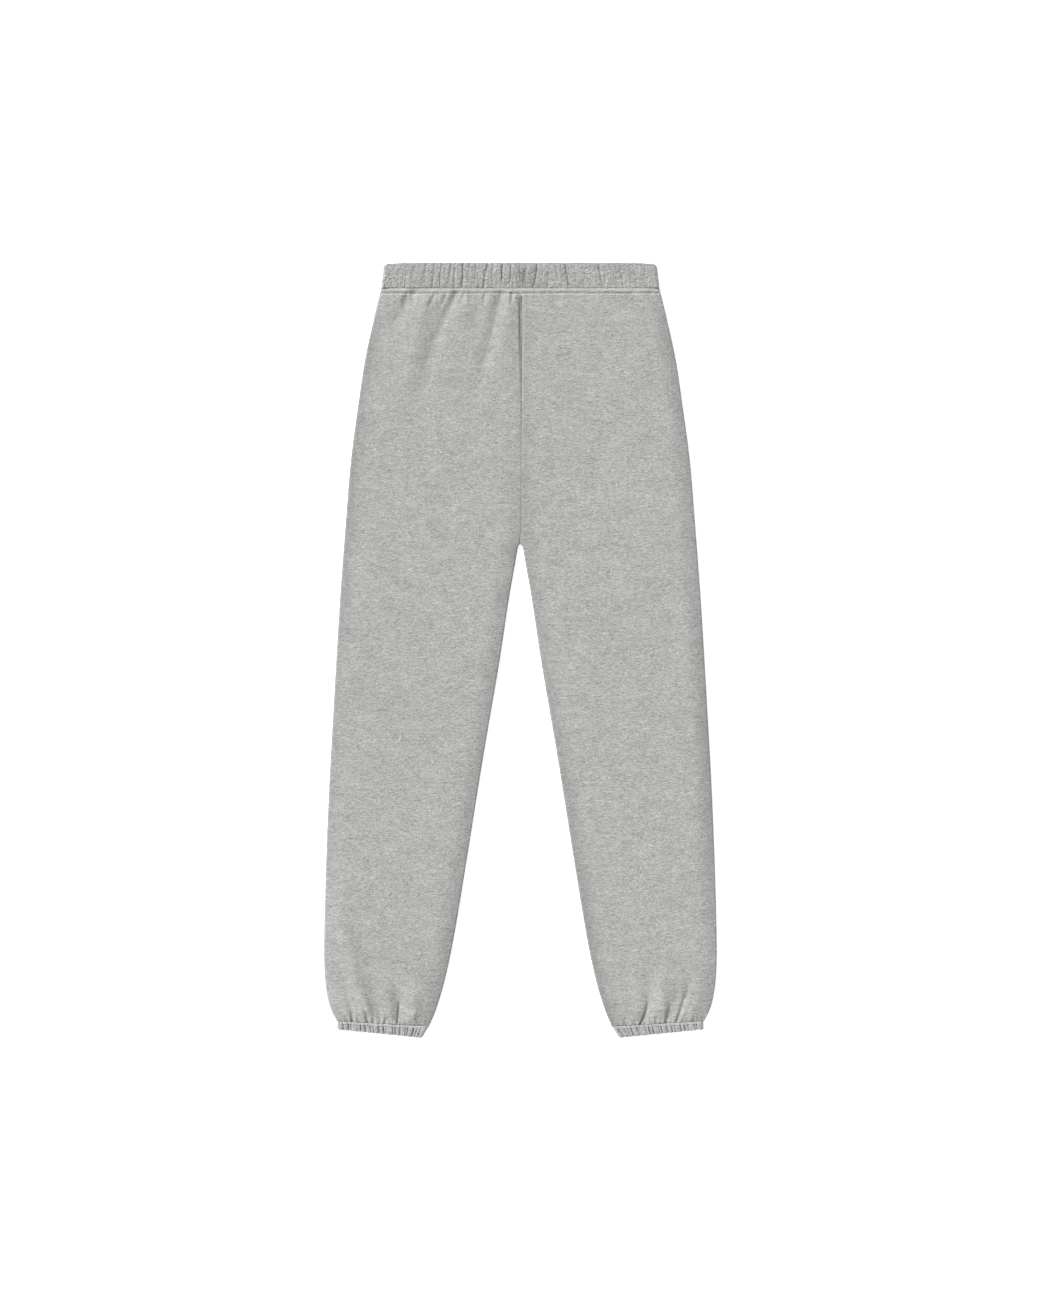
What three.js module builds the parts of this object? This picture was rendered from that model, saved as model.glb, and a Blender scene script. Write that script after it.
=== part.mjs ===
import * as THREE from 'three';

// Jogger sweatpants laid flat with the back up. Sizes are in mm: X runs across the garment, Y towards the waist and
// Z up from the surface that the front panels lie on. The origin is the middle of the underside.

// Driving sizes
const CLOTH = 3; // one layer of brushed fleece
const SEAM_GAP = 0.3; // between two pieces where they are sewn together
const WAIST_SEAM_Y = 470.5;
const WAIST_TOP_Y = 504;
const CROTCH_Y = 138;
const TURN_RADIUS = 3.5; // of the cloth where it rolls over at a side seam or inseam
const DOME_REACH = 24; // the back panel keeps rising this far in from a rolled edge
const CROTCH_BLEND = 16; // the flat centre seam turns into two rolled inseams over this length
const GROOVE_REACH = 11; // half-width of the hollow along the centre back seam
const FLEECE_GREY = 0xb7b7b5;
const BAND_GREY = 0xabaca8;

// The waistband, a doubled strip over an elastic, and the ankle casings, which are the same but narrow
const WAISTBAND = { wall: 4.9, thick: 11.2, seamHalf: 181, topHalf: 177, cornerHalf: 174.5 };
const ANKLE = { wall: 4, thick: 8.6, gathers: 18, depth: 0.8 };

// The ankle seam and the hem under it, each from the outer end to the inner end
const ANKLE_SEAM = { outerX: 238, outerY: -482.3, innerX: 118.8, innerY: -488.9 };
const HEM = { outerX: 238.4, outerY: -493.2, innerX: 127.9, innerY: -504.2 };

// The outseam, as its distance from the centre line
const OUTSEAM = [
  { y: 470.5, x: 181 },
  { y: 429, x: 191 },
  { y: 377, x: 202.2 },
  { y: 325, x: 210 },
  { y: 247, x: 220.4 },
  { y: 169, x: 226.9 },
  { y: 65, x: 234.7 },
  { y: -65, x: 242.5 },
  { y: -195, x: 249.6 },
  { y: -325, x: 254.3 },
  { y: -395, x: 255.5 },
  { y: -429, x: 254.2 },
  { y: -455, x: 250.3 },
  { y: -470, x: 245.5 },
  { y: -484, x: 238 },
];

// The inseam, from the small round of the crotch to the ankle
const INSEAM = [
  { y: 138, x: 0.15 },
  { y: 135.5, x: 2.6 },
  { y: 117, x: 5.9 },
  { y: 65, x: 15 },
  { y: -13, x: 26.7 },
  { y: -143, x: 48.8 },
  { y: -273, x: 69.6 },
  { y: -377, x: 87 },
  { y: -429, x: 98.2 },
  { y: -468, x: 109.9 },
  { y: -490, x: 119 },
];

// Height of the two layers together, and depth of the hollow along the centre back seam
const LAID = [
  { y: 470.5, height: 9.9, groove: 3 },
  { y: 452, height: 9.9, groove: 3.3 },
  { y: 400, height: 9.8, groove: 2.8 },
  { y: 330, height: 9.7, groove: 1.9 },
  { y: 230, height: 9.7, groove: 1.4 },
  { y: 138, height: 9.7, groove: 1.6 },
  { y: -100, height: 9.7, groove: 0 },
  { y: -360, height: 9.8, groove: 0 },
  { y: -440, height: 9.9, groove: 0 },
  { y: -470, height: 9.8, groove: 0 },
  { y: -486, height: 9.2, groove: 0 },
];

// The largest folds of the back panels, each deepest at its first end. A negative depth is a ridge.
const FOLDS = [
  { x: -155, y: 466, toX: -162, toY: 434, depth: 1.3, width: 5 },
  { x: -134, y: 464, toX: -157, toY: 405, depth: -0.7, width: 8 },
  { x: -99, y: 466, toX: -112, toY: 412, depth: 1.7, width: 5.5 },
  { x: -78, y: 466, toX: -80, toY: 448, depth: 1, width: 4.5 },
  { x: -31, y: 466, toX: -44, toY: 404, depth: 1.6, width: 5.5 },
  { x: 46, y: 466, toX: 46, toY: 436, depth: 0.9, width: 5 },
  { x: 112, y: 466, toX: 118, toY: 446, depth: 0.6, width: 5 },
  { x: 145, y: 466, toX: 166, toY: 433, depth: 1, width: 5 },
  { x: -161, y: -484, toX: -159.5, toY: -440, depth: 2.6, width: 5 },
  { x: -201, y: -482, toX: -211, toY: -452, depth: 1.4, width: 5 },
  { x: -224, y: -482, toX: -234, toY: -466, depth: 1, width: 4.5 },
  { x: -183, y: -484, toX: -183, toY: -470, depth: 1, width: 4.5 },
  { x: -137, y: -486, toX: -132, toY: -471, depth: 1, width: 4.5 },
  { x: 155, y: -485, toX: 166, toY: -458, depth: 2.2, width: 5 },
  { x: 189, y: -484, toX: 194, toY: -452, depth: 1.4, width: 5 },
  { x: 204, y: -482, toX: 217, toY: -446, depth: 1.8, width: 5 },
  { x: 217, y: -446, toX: 219, toY: -420, depth: 0.9, width: 6 },
  { x: 137, y: -487, toX: 134, toY: -476, depth: 1, width: 4.5 },
];

// Gathers across the back of the waistband: where each dip is, how deep, and how far its top leans to the right
const WAIST_GATHERS = [
  { x: -168, depth: 0.4, lean: 1 },
  { x: -155, depth: 0.6, lean: -1 },
  { x: -142.5, depth: 0.9, lean: 1 },
  { x: -124, depth: 0.8, lean: 2 },
  { x: -113.5, depth: 0.8, lean: 0 },
  { x: -103, depth: 0.9, lean: 1 },
  { x: -93, depth: 0.8, lean: -1 },
  { x: -84, depth: 0.9, lean: 0 },
  { x: -75, depth: 1.3, lean: 1 },
  { x: -66, depth: 0.9, lean: 0 },
  { x: -56, depth: 0.6, lean: -1 },
  { x: -46, depth: 1.3, lean: -4 },
  { x: -35, depth: 0.9, lean: 0 },
  { x: -24, depth: 1.5, lean: 1 },
  { x: -12.5, depth: 0.9, lean: 0 },
  { x: -2, depth: 1.2, lean: 1 },
  { x: 10, depth: 1.1, lean: -1 },
  { x: 23, depth: 0.9, lean: 0 },
  { x: 36, depth: 0.7, lean: 1 },
  { x: 48, depth: 0.8, lean: 0 },
  { x: 60, depth: 1.3, lean: -4 },
  { x: 72, depth: 0.8, lean: 0 },
  { x: 83, depth: 0.7, lean: 1 },
  { x: 93, depth: 0.7, lean: 0 },
  { x: 103.5, depth: 1.2, lean: -4 },
  { x: 119, depth: 0.6, lean: 0 },
  { x: 135, depth: 0.5, lean: 1 },
  { x: 150, depth: 0.5, lean: 0 },
  { x: 166, depth: 0.6, lean: -1 },
];

// How closely a back panel is divided, with more columns and rows where the folds are
const PANEL_TOP_Y = WAIST_SEAM_Y - SEAM_GAP / 2;
const PANEL_FOOT_Y = (ANKLE_SEAM.outerY + ANKLE_SEAM.innerY + SEAM_GAP) / 2;
const BACK_ZONES = [
  { fromY: PANEL_TOP_Y, toY: 424, rows: 6, columns: 44 },
  { fromY: 404, toY: -390, rows: 13, columns: 14 },
  { fromY: -414, toY: PANEL_FOOT_Y, rows: 8, columns: 30 },
];
const PLAIN_ZONES = [{ fromY: PANEL_TOP_Y, toY: PANEL_FOOT_Y, rows: 15, columns: 8 }];
const CROTCH_ROWS = [CROTCH_BLEND, CROTCH_BLEND / 2, 0, -2.5, -10].map((above) => CROTCH_Y + above);
const TURN_ANGLES = [0, 30, 60, 90].map(THREE.MathUtils.degToRad);

// How far a gather is pressed in at its dip, a quarter, a half and three quarters of the way to the next dip
const GATHER_SHAPE = [1, 0.35, 0, 0.35];

// A smooth curve through one column of a table, as a function of y
function curveOf(table, column) {
  const rows = [...table].sort((a, b) => a.y - b.y);
  const slope = (i) => {
    const before = rows[Math.max(i - 1, 0)];
    const after = rows[Math.min(i + 1, rows.length - 1)];
    return (after[column] - before[column]) / (after.y - before.y);
  };
  return (y) => {
    const at = THREE.MathUtils.clamp(y, rows[0].y, rows[rows.length - 1].y);
    const i = Math.min(Math.max(rows.findIndex((row) => row.y >= at), 1), rows.length - 1);
    const span = rows[i].y - rows[i - 1].y;
    const t = (at - rows[i - 1].y) / span;
    const start = rows[i - 1][column] * (1 + 2 * t) * (1 - t) ** 2 + rows[i][column] * t * t * (3 - 2 * t);
    return start + span * (slope(i - 1) * t * (1 - t) ** 2 - slope(i) * t * t * (1 - t));
  };
}

const outseamAt = curveOf(OUTSEAM, 'x');
const inseamAt = curveOf(INSEAM, 'x');
const heightAt = curveOf(LAID, 'height');
const grooveAt = curveOf(LAID, 'groove');

// The points and triangles of one closed wall, put together from strips between rows of points
class ClosedWall {
  positions = [];
  faces = [];

  row(points) {
    return points.map((point) => {
      this.positions.push(point.x, point.y, point.z);
      return { at: point.at, index: this.positions.length / 3 - 1 };
    });
  }

  ring(points) {
    const row = this.row(points);
    return [...row, { at: 1, index: row[0].index }];
  }

  // The two rows may have different numbers of points
  strip(a, b) {
    let i = 0;
    let j = 0;
    while (i < a.length - 1 || j < b.length - 1) {
      const alongA = j === b.length - 1 || (i < a.length - 1 && a[i + 1].at + a[i].at <= b[j + 1].at + b[j].at);
      this.faces.push(a[i].index, b[j].index, alongA ? a[i + 1].index : b[j + 1].index);
      i += alongA ? 1 : 0;
      j += alongA ? 0 : 1;
    }
  }

  strips(rows) {
    rows.slice(1).forEach((row, i) => this.strip(rows[i], row));
  }

  corner(index) {
    return new THREE.Vector3().fromArray(this.positions, index * 3);
  }

  volume() {
    let sum = 0;
    for (let f = 0; f < this.faces.length; f += 3) {
      const [a, b, c] = [0, 1, 2].map((k) => this.corner(this.faces[f + k]));
      sum += a.dot(b.cross(c)) / 6;
    }
    return sum;
  }

  mesh(name, color) {
    if (this.volume() < 0) this.faces.reverse();
    const geometry = new THREE.BufferGeometry();
    geometry.setAttribute('position', new THREE.Float32BufferAttribute(this.positions, 3));
    geometry.setIndex(this.faces);
    geometry.computeVertexNormals();
    const material = new THREE.MeshStandardMaterial({ color, roughness: 0.95, metalness: 0 });
    const mesh = new THREE.Mesh(geometry, material);
    mesh.name = name;
    return mesh;
  }
}

// How far the folds press a point of the back panels in
function foldDepth(x, y) {
  let depth = 0;
  for (const fold of FOLDS) {
    const along = new THREE.Vector2(fold.toX - fold.x, fold.toY - fold.y);
    const from = new THREE.Vector2(x - fold.x, y - fold.y);
    const t = THREE.MathUtils.clamp(from.dot(along) / along.lengthSq(), 0, 1);
    const off = from.distanceTo(along.multiplyScalar(t)) / fold.width;
    depth += fold.depth * (1 - 0.7 * t) * Math.exp(-off * off);
  }
  return depth;
}

// The line across one leg at height y: rows start level and take on the ankle seam's slant as they near it
function stationAt(y) {
  const seamSlope = (ANKLE_SEAM.outerY - ANKLE_SEAM.innerY) / (ANKLE_SEAM.outerX - ANKLE_SEAM.innerX);
  const slope = seamSlope * THREE.MathUtils.smoothstep(-y, 380, 486);
  const middle = (ANKLE_SEAM.outerX + ANKLE_SEAM.innerX) / 2;
  const halfRise = (slope * (ANKLE_SEAM.outerX - ANKLE_SEAM.innerX)) / 2;
  return {
    yAt: (x) => y + slope * (x - middle),
    outer: outseamAt(y + halfRise),
    inner: y >= CROTCH_Y ? SEAM_GAP / 2 : inseamAt(y - halfRise),
    height: heightAt(y),
    groove: grooveAt(y),
    rolled: 1 - THREE.MathUtils.smoothstep(y, CROTCH_Y, CROTCH_Y + CROTCH_BLEND),
    along: -y,
  };
}

// One row of a panel, from the outseam to the inseam or centre seam, on the cloth's face (inset 0) or on its
// back (inset CLOTH). The back panel's height above its seams is a dome; the front panel's face is the flat underside.
function panelRow(station, columns, side, isBack, inset) {
  const radius = isBack ? TURN_RADIUS : TURN_RADIUS - SEAM_GAP / 2;
  const seamZ = isBack ? TURN_RADIUS + SEAM_GAP / 2 : radius;
  const up = isBack ? 1 : -1;
  const rise = isBack ? station.height - seamZ - radius : 0;
  const dome = (distance) => rise * Math.max(0, 1 - distance / DOME_REACH) ** 2;
  const hollow = (distance) => (isBack ? station.groove * Math.max(0, 1 - distance / GROOVE_REACH) ** 2 : 0);
  const flatZ = (isBack ? station.height : 0) - up * inset;
  const points = [];
  const put = (x, z, held) => {
    const y = station.yAt(x);
    const pressed = isBack ? foldDepth(side * x, y) * held : 0;
    points.push({ x: side * x, y, z: z - pressed, at: (station.outer - x) / (station.outer - station.inner) });
  };
  for (const angle of TURN_ANGLES) {
    const x = station.outer - radius + (radius - inset) * Math.cos(angle);
    put(x, seamZ + up * (radius - inset) * Math.sin(angle), Math.sin(angle) ** 2);
  }
  const start = station.outer - radius;
  const end = station.inner + radius;
  for (let column = 1; column <= columns; column += 1) {
    const t = column / (columns + 1);
    const x = THREE.MathUtils.lerp(start, end, t - (0.4 * Math.sin(2 * Math.PI * t)) / (2 * Math.PI));
    const seamDip = THREE.MathUtils.lerp(hollow(x - station.inner), dome(x - end), station.rolled);
    put(x, flatZ - dome(start - x) - seamDip, 1);
  }
  for (const angle of [...TURN_ANGLES].reverse()) {
    const flatX = end - radius * Math.cos(angle);
    const rolledX = end - (radius - inset) * Math.cos(angle);
    const rolledZ = seamZ + up * (radius - inset) * Math.sin(angle);
    const x = THREE.MathUtils.lerp(flatX, rolledX, station.rolled);
    const z = THREE.MathUtils.lerp(flatZ - hollow(flatX - station.inner), rolledZ, station.rolled);
    put(x, z, Math.sin(angle) ** 2);
  }
  points[0].at = 0;
  points[points.length - 1].at = 1;
  return points;
}

// The rows of one face of a panel, zone by zone
function zoneStations(zones) {
  const stations = [];
  for (const zone of zones) {
    for (let row = 0; row < zone.rows; row += 1) {
      const y = THREE.MathUtils.lerp(zone.fromY, zone.toY, row / (zone.rows - 1));
      stations.push({ y, columns: zone.columns });
    }
  }
  const clear = stations.filter(({ y }) => CROTCH_ROWS.every((rowY) => Math.abs(y - rowY) > 8));
  const columns = zones[Math.floor(zones.length / 2)].columns;
  const crotch = CROTCH_ROWS.map((y) => ({ y, columns }));
  return [...clear, ...crotch].sort((a, b) => b.y - a.y);
}

function panel(name, side, isBack) {
  const wall = new ClosedWall();
  const face = (zones, inset) =>
    zoneStations(zones).map(({ y, columns }) => {
      const station = stationAt(y);
      return { along: station.along, row: wall.row(panelRow(station, columns, side, isBack, inset)) };
    });
  const outside = face(isBack ? BACK_ZONES : PLAIN_ZONES, 0);
  const inside = face(PLAIN_ZONES, CLOTH);
  const edge = (rows, end) => rows.map(({ along, row }) => ({ at: along, index: row.at(end).index }));
  wall.strips(outside.map(({ row }) => row));
  wall.strips(inside.map(({ row }) => row).reverse());
  wall.strip(inside[0].row, outside[0].row);
  wall.strip(outside.at(-1).row, inside.at(-1).row);
  wall.strip(edge(outside, 0), edge(inside, 0));
  wall.strip(edge(inside, -1), edge(outside, -1));
  return wall.mesh(name, FLEECE_GREY);
}

// A point of a flattened ring that spans from one end to the other. Its place runs 0 to 1 over the top, to 2 round
// the far end, to 3 back along the underside and to 4 round the near end.
function ringPoint({ from, to, thick }, place, inset) {
  const span = from.distanceTo(to);
  const radius = thick / 2;
  const turn = radius - inset;
  const angle = (place % 1) * Math.PI;
  const straight = (place % 1) * (span - thick);
  const [along, z] = [
    () => [radius + straight, radius + turn],
    () => [span - radius + turn * Math.sin(angle), radius + turn * Math.cos(angle)],
    () => [span - radius - straight, radius - turn],
    () => [radius - turn * Math.sin(angle), radius - turn * Math.cos(angle)],
  ][Math.floor(place)]();
  const flat = from.clone().lerp(to, along / span);
  return new THREE.Vector3(flat.x, flat.y, z);
}

// Places of the columns between the dips on one side of a ring, four to a gather, each with how far it is pressed in
function gatherColumns(gathers, firstPlace) {
  const dips = [{ place: 0, depth: 0, lean: 0 }, ...gathers, { place: 1, depth: 0, lean: 0 }];
  const columns = [];
  dips.slice(1).forEach((next, i) => {
    const dip = dips[i];
    GATHER_SHAPE.forEach((share, quarter) => {
      const t = quarter / GATHER_SHAPE.length;
      const place = firstPlace + THREE.MathUtils.lerp(dip.place, next.place, t);
      const lean = THREE.MathUtils.lerp(dip.lean, next.lean, t);
      columns.push({ place, lean, depth: share * (t < 0.5 ? dip.depth : next.depth) });
    });
  });
  return columns;
}

function turnColumns(firstPlace, count) {
  return Array.from({ length: count }, (_, i) => ({ place: firstPlace + i / count, lean: 0, depth: 0 }));
}

// A casing ring: gathered rows up its outer face, over the folded edge, and a plain back
function gatheredRing(name, color, { wall: thickness, spans, over, under }) {
  const wall = new ClosedWall();
  const gathered = [...gatherColumns(over, 0), ...turnColumns(1, 6), ...gatherColumns(under, 2), ...turnColumns(3, 6)];
  const plain = [0, 1, 2, 3].flatMap((place) => turnColumns(place, place % 2 ? 4 : 12));
  const rows = spans.map(({ from, to, thick, inset, up }) => {
    const columns = inset > thickness / 2 ? plain : gathered;
    const points = columns.map(({ place, lean, depth }) => {
      const leaning = Math.floor(place) % 2 ? place : place + lean * up;
      const point = ringPoint({ from, to, thick }, leaning, inset + depth * (1 - inset / thickness));
      return Object.assign(point, { at: place / 4 });
    });
    return wall.ring(points);
  });
  wall.strips([...rows, rows[0]]);
  return wall.mesh(name, color);
}

// The casing's own section, as steps from its sewn edge up its face, round the fold and down its back
function casingSteps(height, thickness, rows) {
  const half = thickness / 2;
  const straight = Array.from({ length: rows }, (_, i) => ({ up: (i / rows) * (height - half), inset: 0 }));
  const fold = [0, 45, 90, 135, 180].map(THREE.MathUtils.degToRad).map((angle) => ({
    up: height - half + half * Math.sin(angle),
    inset: half - half * Math.cos(angle),
  }));
  return [...straight, ...fold, { up: 0, inset: thickness }];
}

function waistband() {
  const { wall, thick, seamHalf, topHalf, cornerHalf } = WAISTBAND;
  const baseY = WAIST_SEAM_Y + SEAM_GAP / 2;
  const height = WAIST_TOP_Y - baseY;
  const spans = casingSteps(height, wall, 3).map(({ up, inset }) => {
    const taper = THREE.MathUtils.lerp(seamHalf, topHalf, up / height);
    const corner = (topHalf - cornerHalf) * THREE.MathUtils.smoothstep(up, height - wall, height);
    const half = taper - corner;
    const from = new THREE.Vector2(-half, baseY + up);
    return { from, to: new THREE.Vector2(half, baseY + up), thick, inset, up: up / height };
  });
  const width = 2 * seamHalf - thick;
  const over = WAIST_GATHERS.map(({ x, depth, lean }) => ({ place: x / width + 0.5, depth, lean: lean / width }));
  const under = over.map(({ place, depth, lean }) => ({ place, depth: 0.8 * depth, lean: -lean }));
  return gatheredRing('waistband', BAND_GREY, { wall, spans, over, under });
}

function ankleBand(name, side) {
  const { wall, thick, gathers, depth } = ANKLE;
  const corner = (line, end) => new THREE.Vector2(side * line[`${end}X`], line[`${end}Y`]);
  const down = (end, up) => {
    const top = corner(ANKLE_SEAM, end);
    const bottom = corner(HEM, end);
    top.y -= SEAM_GAP / 2;
    return top.lerp(bottom, up);
  };
  const height = ANKLE_SEAM.innerY - HEM.innerY;
  const spans = casingSteps(height, wall, 1).map(({ up, inset }) => {
    const t = up / height;
    return { from: down('outer', t), to: down('inner', t), thick, inset, up: t };
  });
  const width = (line) => line.outerX - line.innerX;
  const narrowing = width(ANKLE_SEAM) / width(HEM) - 1;
  const over = Array.from({ length: gathers }, (_, i) => {
    const place = (i + 0.6 + 0.25 * Math.sin(2.4 * i)) / (gathers + 0.2);
    const upright = narrowing * place * (1 - place ** 4);
    return { place, depth: depth * (1 + 0.4 * Math.sin(1.7 * i)), lean: upright + 0.006 * Math.sin(2.9 * i) };
  });
  return gatheredRing(name, FLEECE_GREY, { wall, spans, over, under: over });
}

const sweatpants = new THREE.Group();
for (const [hand, side] of [['left', -1], ['right', 1]]) {
  sweatpants.add(panel(`back_${hand}`, side, true));
  sweatpants.add(panel(`front_${hand}`, side, false));
  sweatpants.add(ankleBand(`ankle_${hand}`, side));
}
sweatpants.add(waistband());

export default sweatpants;
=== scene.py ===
import math
from collections import namedtuple

import bpy
import numpy as np
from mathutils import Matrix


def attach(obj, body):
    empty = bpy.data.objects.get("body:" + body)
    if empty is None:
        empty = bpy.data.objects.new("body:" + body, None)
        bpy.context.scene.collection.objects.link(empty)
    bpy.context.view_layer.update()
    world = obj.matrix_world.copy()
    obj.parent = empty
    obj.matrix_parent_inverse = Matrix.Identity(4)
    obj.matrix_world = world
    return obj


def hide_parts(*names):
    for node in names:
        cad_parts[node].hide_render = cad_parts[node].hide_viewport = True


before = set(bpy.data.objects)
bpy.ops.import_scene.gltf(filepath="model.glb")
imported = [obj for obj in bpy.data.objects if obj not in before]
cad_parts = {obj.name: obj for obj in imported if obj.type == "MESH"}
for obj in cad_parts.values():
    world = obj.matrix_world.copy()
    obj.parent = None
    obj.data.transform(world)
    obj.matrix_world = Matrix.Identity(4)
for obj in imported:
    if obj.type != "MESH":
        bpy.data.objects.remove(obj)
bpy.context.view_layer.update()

# The camera hangs straight above the garment, which lies on its front with the waistband towards the top of
# the picture. The photograph is 1300 pixels high and shows 1.3 mm of the garment to a pixel. The camera's
# small shift, in pixels, puts the garment where the photograph has it.
PHOTO_ROWS = 1300
PIXEL = 0.0013
LENS = 100
SENSOR = 36
SEAM_HEIGHT = 0.005
CAMERA_SHIFT = -0.3
camera = bpy.data.objects.new("camera", bpy.data.cameras.new("camera"))
camera.data.sensor_fit = "VERTICAL"
camera.data.sensor_height = SENSOR
camera.data.lens = LENS
camera.location = (CAMERA_SHIFT * PIXEL, 0, PHOTO_ROWS * PIXEL * LENS / SENSOR + SEAM_HEIGHT)
bpy.context.collection.objects.link(camera)
bpy.context.scene.camera = camera

# The two back panels are what the picture shows: each is one layer of brushed fleece, sewn to its neighbour
# down the centre back and to the front panel down the outseam and the inseam. The cloth rolls over at those
# seams, rises in a low dome inside them, and is drawn into folds by the elastics at its two ends.
MM = 0.001
CLOTH = 3.0
SEAM_GAP = 0.3
WAIST_SEAM_Y = 470.5
CROTCH_Y = 138.0
CROTCH_BLEND = 16.0
TURN_RADIUS = 3.5
DOME_REACH = 24.0
VALLEY_REACH = 16
VALLEY_SHARE = {-1: 1.0, 1: 0.4}
ANKLE_SEAM = {"outer_x": 238.0, "outer_y": -482.3, "inner_x": 118.8, "inner_y": -488.9}

OUTSEAM = {
    "y": (-484, -470, -455, -429, -395, -325, -195, -65, 65, 169, 247, 325, 377, 429, 470.5),
    "x": (238, 245.5, 250.3, 254.2, 255.5, 254.3, 249.6, 242.5, 234.7, 226.9, 220.4, 210, 202.2, 191, 181),
}
INSEAM = {
    "y": (-490, -468, -429, -377, -273, -143, -13, 65, 117, 135.5, 138),
    "x": (119, 109.9, 98.2, 87, 69.6, 48.8, 26.7, 15, 5.9, 2.6, 0.15),
}
LAID = {
    "y": (-486, -470, -440, -360, -100, 138, 230, 330, 400, 452, 470.5),
    "height": (9.2, 9.8, 9.9, 9.8, 9.7, 9.7, 9.7, 9.7, 9.8, 9.9, 9.9),
}
CENTRE_SEAM = {
    "y": (138, 180, 260, 320, 350, 385, 405, 440, 455, 462, 470.5),
    "slit": (1.7, 1.4, 1.4, 2.0, 2.6, 3.6, 5.8, 6.2, 4.6, 0.9, 0.3),
    "slit_width": (1.1, 1.1, 1.1, 1.1, 1.2, 1.5, 2.0, 2.1, 1.8, 0.9, 0.9),
    "valley": (1.0, 0.8, 0.7, 0.8, 0.9, 1.1, 1.3, 1.1, 0.8, 0.4, 0.3),
}

Fold = namedtuple("Fold", "depth width path")
BACK_FOLDS = [
    Fold(2.6, 5, ((-138, 463), (-145, 455), (-152, 443), (-160, 430), (-168, 417), (-178, 398))),
    Fold(3.5, 5, ((-83, 461), (-89, 450), (-97, 434), (-106, 414), (-115, 390), (-122, 358), (-132, 230))),
    Fold(2.9, 5, ((-25, 461), (-29, 447), (-35, 420), (-42, 392), (-49, 362), (-58, 332), (-78, 236))),
    Fold(-2.4, 8, ((-120, 455), (-129, 432), (-137, 400), (-145, 366), (-153, 330), (-161, 290))),
    Fold(-1.8, 8, ((-68, 452), (-76, 420), (-84, 386), (-92, 350), (-100, 310))),
    Fold(-1.2, 7, ((-12, 452), (-19, 390), (-28, 335))),
    Fold(1.7, 1.8, ((-97, 461), (-101, 450), (-109, 438))),
    Fold(1.8, 1.8, ((-112, 461), (-116, 451), (-121, 441))),
    Fold(1.6, 2.0, ((-147, 462), (-152, 447))),
    Fold(2.0, 1.8, ((-73, 462), (-78, 447))),
    Fold(1.8, 2.0, ((-46, 461), (-49, 444))),
    Fold(2.0, 1.8, ((-10.5, 462), (-12, 445))),
    Fold(-0.5, 3, ((5, 457), (5, 428), (4.5, 405))),
    Fold(0.9, 5, ((48, 458), (48, 436), (44, 418))),
    Fold(0.8, 4, ((112, 461), (118, 444))),
    Fold(1.5, 5, ((144, 461), (156, 450), (168, 431), (180, 411))),
    Fold(1.1, 4, ((168, 461), (176, 450), (186, 433))),
    Fold(3.8, 1.1, ((-160, -485), (-158, -471), (-157, -462), (-158, -453))),
    Fold(4.2, 5, ((-159, -478), (-158, -462), (-160, -446), (-164, -428))),
    Fold(-2.8, 6, ((-138, -474), (-135, -448), (-137, -405))),
    Fold(2.9, 1.8, ((-199, -484), (-199.5, -475), (-203, -463), (-209, -450))),
    Fold(2.6, 1.8, ((-218, -482), (-219, -469), (-224, -457))),
    Fold(2.0, 1.8, ((-225, -482), (-231, -473), (-240, -461))),
    Fold(-3.8, 7, ((-201, -466), (-208, -440), (-218, -408), (-230, -360), (-240, -315))),
    Fold(1.6, 1.4, ((-182, -484), (-182, -474))),
    Fold(-0.8, 2.5, ((-178, -480), (-178, -462))),
    Fold(1.6, 1.5, ((-177, -486), (-171, -475))),
    Fold(1.7, 2.0, ((-130, -489), (-134, -479), (-136, -470))),
    Fold(1.4, 1.4, ((-191, -484), (-191, -477))),
    Fold(3.8, 1.1, ((155, -488), (160, -479), (165, -466), (166.5, -452))),
    Fold(3.4, 5, ((161, -480), (166, -462), (168, -440), (167, -400))),
    Fold(-2.2, 7, ((184, -466), (188, -440), (189, -400))),
    Fold(2.0, 5, ((195, -478), (201, -462), (205, -444))),
    Fold(-1.6, 6, ((222, -474), (232, -450), (238, -420))),
    Fold(2.6, 1.8, ((189.5, -485), (193, -471), (196, -456))),
    Fold(3.2, 1.8, ((203.5, -482), (208, -471), (212, -458), (218, -440), (220.5, -421))),
    Fold(1.7, 1.4, ((177, -485), (176, -476))),
    Fold(2.0, 1.6, ((138, -487), (135, -476))),
    Fold(1.4, 1.4, ((226, -483), (224, -475))),
    Fold(1.3, 1.4, ((150, -488), (148, -480))),
]


def curve_of(table, column):
    """A smooth curve through one column of a table, as a function of y."""
    ys = np.array(table["y"], float)
    values = np.array(table[column], float)
    ends = [(values[1] - values[0]) / (ys[1] - ys[0]), (values[-1] - values[-2]) / (ys[-1] - ys[-2])]
    slopes = np.concatenate([ends[:1], (values[2:] - values[:-2]) / (ys[2:] - ys[:-2]), ends[1:]])

    def at(y):
        y = min(max(y, ys[0]), ys[-1])
        i = min(max(int(np.searchsorted(ys, y)), 1), len(ys) - 1)
        span = ys[i] - ys[i - 1]
        t = (y - ys[i - 1]) / span
        level = values[i - 1] * (1 + 2 * t) * (1 - t) ** 2 + values[i] * t * t * (3 - 2 * t)
        return level + span * (slopes[i - 1] * t * (1 - t) ** 2 - slopes[i] * t * t * (1 - t))

    return at


outseam_at = curve_of(OUTSEAM, "x")
inseam_at = curve_of(INSEAM, "x")
height_at = curve_of(LAID, "height")
slit_at = curve_of(CENTRE_SEAM, "slit")
slit_width_at = curve_of(CENTRE_SEAM, "slit_width")
valley_at = curve_of(CENTRE_SEAM, "valley")


def smooth_step(value, low, high):
    t = np.clip((value - low) / (high - low), 0, 1)
    return t * t * (3 - 2 * t)


def bell(distance, width):
    return np.exp(-((distance / width) ** 2))


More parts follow.
